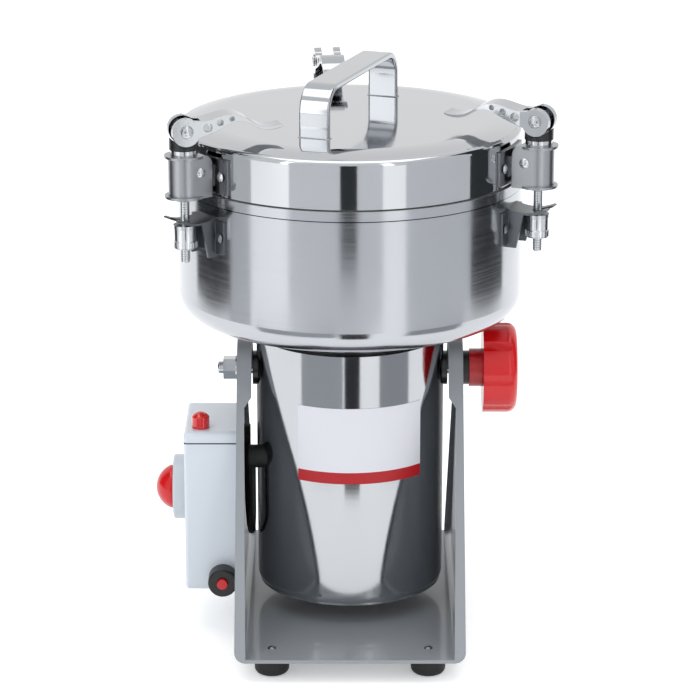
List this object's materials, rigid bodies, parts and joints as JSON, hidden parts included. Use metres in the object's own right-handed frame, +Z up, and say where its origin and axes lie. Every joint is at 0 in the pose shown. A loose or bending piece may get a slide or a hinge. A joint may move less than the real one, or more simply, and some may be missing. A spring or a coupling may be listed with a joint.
{
  "type": "electric spice grinder",
  "caption": "Tilting high speed spice grinder: round steel bowl with a clamped lid on a motor barrel, swinging in a bent sheet frame with a control box.",
  "frame": {"origin": "on the floor, straight below the axis of the bowl and the motor barrel", "axes": "+Z up along the bowl's axis, +X to the lock knob's side, +Y to the back"},
  "size_m": [0.3257, 0.3243, 0.4715],
  "materials": {
    "frame_paint": "gloss grey",
    "box_paint": "satin light grey",
    "stainless": "polished",
    "satin_steel": "satin",
    "chrome": "polished",
    "red_plastic": "gloss",
    "black_plastic": "satin",
    "rubber": "matt",
    "gasket": "matt",
    "label": "satin",
    "lamp": "gloss",
    "iron": "laminated",
    "black_metal": "satin",
    "aluminium": "cast",
    "copper": "enamelled",
    "carbon": "matt",
    "dial": "satin"
  },
  "bodies": {
    "frame": {"base_frame": "frame_paint", "feet": "rubber", "frame_screws": "satin_steel", "control_box": "box_paint", "control_box_cover": "box_paint", "timer_dial": "dial", "timer_unit": "black_plastic", "indicator_lamp": "lamp", "reset_breaker": "black_plastic", "cable_glands": "rubber", "arm_bushes": "black_plastic"},
    "timer_knob": {"timer_knob": "red_plastic"},
    "reset_button": {"reset_button": "red_plastic"},
    "barrel": {"motor_housing": "stainless", "bottom_cover": "black_metal", "motor_screws": "satin_steel", "rating_label": "label", "stator_core": "iron", "field_windings": "copper", "upper_end_shield": "black_metal", "lower_end_shield": "aluminium", "brush_holders": "copper", "carbon_brushes": "carbon", "bearings": "satin_steel", "trunnion_bosses": "black_metal", "trunnion_stud": "satin_steel", "trunnion_fasteners": "satin_steel", "barrel_gland": "rubber", "motor_lead": "rubber", "bowl": "stainless", "shaft_seal": "rubber", "bowl_brackets": "satin_steel", "bowl_rivets": "satin_steel"},
    "rotor": {"motor_shaft": "satin_steel", "armature": "iron", "commutator": "copper", "cooling_fan": "black_plastic", "grinding_blades": "satin_steel", "blade_fasteners": "satin_steel"},
    "lock_washer": {"lock_washer": "black_plastic"},
    "lock_knob": {"lock_knob": "red_plastic", "lock_screw": "satin_steel"},
    "lid": {"lid": "stainless", "lid_gasket": "gasket", "handle": "chrome", "lid_brackets": "satin_steel", "lid_rivets": "satin_steel"},
    "clamp_rear": {"clamp_housing_rear": "satin_steel", "clamp_screw_rear": "satin_steel", "clamp_cup_rear": "black_plastic"},
    "lever_rear": {"cam_lever_rear": "chrome"},
    "clamp_left": {"clamp_housing_left": "satin_steel", "clamp_screw_left": "satin_steel", "clamp_cup_left": "black_plastic"},
    "lever_left": {"cam_lever_left": "chrome"},
    "clamp_right": {"clamp_housing_right": "satin_steel", "clamp_screw_right": "satin_steel", "clamp_cup_right": "black_plastic"},
    "lever_right": {"cam_lever_right": "chrome"}
  },
  "joints": [
    {"name": "barrel_swing", "type": "hinge", "parent": "frame", "child": "barrel", "pos_m": [0, 0, 0.219], "axis": [1, 0, 0], "range_deg": [-70, 70], "deforming": ["motor_lead"]},
    {"name": "rotor_spin", "type": "hinge", "parent": "barrel", "child": "rotor", "pos_m": [0, 0, 0.29], "axis": [0, 0, 1], "continuous": true},
    {"name": "lid_lift", "type": "slide", "parent": "barrel", "child": "lid", "axis": [0, 0, 1], "range_m": [0, 0.156]},
    {"name": "lock_slide", "type": "slide", "parent": "frame", "child": "lock_washer", "axis": [1, 0, 0], "range_m": [0, 0.0032]},
    {"name": "lock_turn", "type": "hinge", "parent": "lock_washer", "child": "lock_knob", "pos_m": [0.1, 0, 0.219], "axis": [1, 0, 0], "range_deg": [0, 720]},
    {"name": "timer_turn", "type": "hinge", "parent": "frame", "child": "timer_knob", "pos_m": [-0.147, 0, 0.115], "axis": [-1, 0, 0], "range_deg": [-300, 0]},
    {"name": "reset_push", "type": "slide", "parent": "frame", "child": "reset_button", "axis": [0, 1, 0], "range_m": [0, 0.0025], "stiffness_N_per_m": 600},
    {"name": "clamp_swing_rear", "type": "hinge", "parent": "lid", "child": "clamp_rear", "pos_m": [-0.01877, 0.15285, 0.4095], "axis": [0.9925, 0.1219, 0], "range_deg": [0, 30]},
    {"name": "lever_rear", "type": "hinge", "parent": "clamp_rear", "child": "lever_rear", "pos_m": [-0.01968, 0.1603, 0.443], "axis": [-0.9925, -0.1219, 0], "range_deg": [0, 110]},
    {"name": "clamp_swing_left", "type": "hinge", "parent": "lid", "child": "clamp_left", "pos_m": [-0.12299, -0.09268, 0.4095], "axis": [-0.6018, 0.7986, 0], "range_deg": [0, 30]},
    {"name": "lever_left", "type": "hinge", "parent": "clamp_left", "child": "lever_left", "pos_m": [-0.12898, -0.09719, 0.443], "axis": [0.2756, -0.9613, 0], "range_deg": [0, 110]},
    {"name": "clamp_swing_right", "type": "hinge", "parent": "lid", "child": "clamp_right", "pos_m": [0.14176, -0.06017, 0.4095], "axis": [-0.3907, -0.9205, 0], "range_deg": [0, 30]},
    {"name": "lever_right", "type": "hinge", "parent": "clamp_right", "child": "lever_right", "pos_m": [0.14866, -0.0631, 0.443], "axis": [0.3907, 0.9205, 0], "range_deg": [0, 110]}
  ],
  "couplings": [
    {"joint": "lock_slide", "follows": "lock_turn", "m_per_rad": 0.00023873},
    {"joint": "clamp_swing_rear", "follows": "lever_rear", "ratio": 0.27},
    {"joint": "clamp_swing_left", "follows": "lever_left", "ratio": 0.27},
    {"joint": "clamp_swing_right", "follows": "lever_right", "ratio": 0.27}
  ]
}
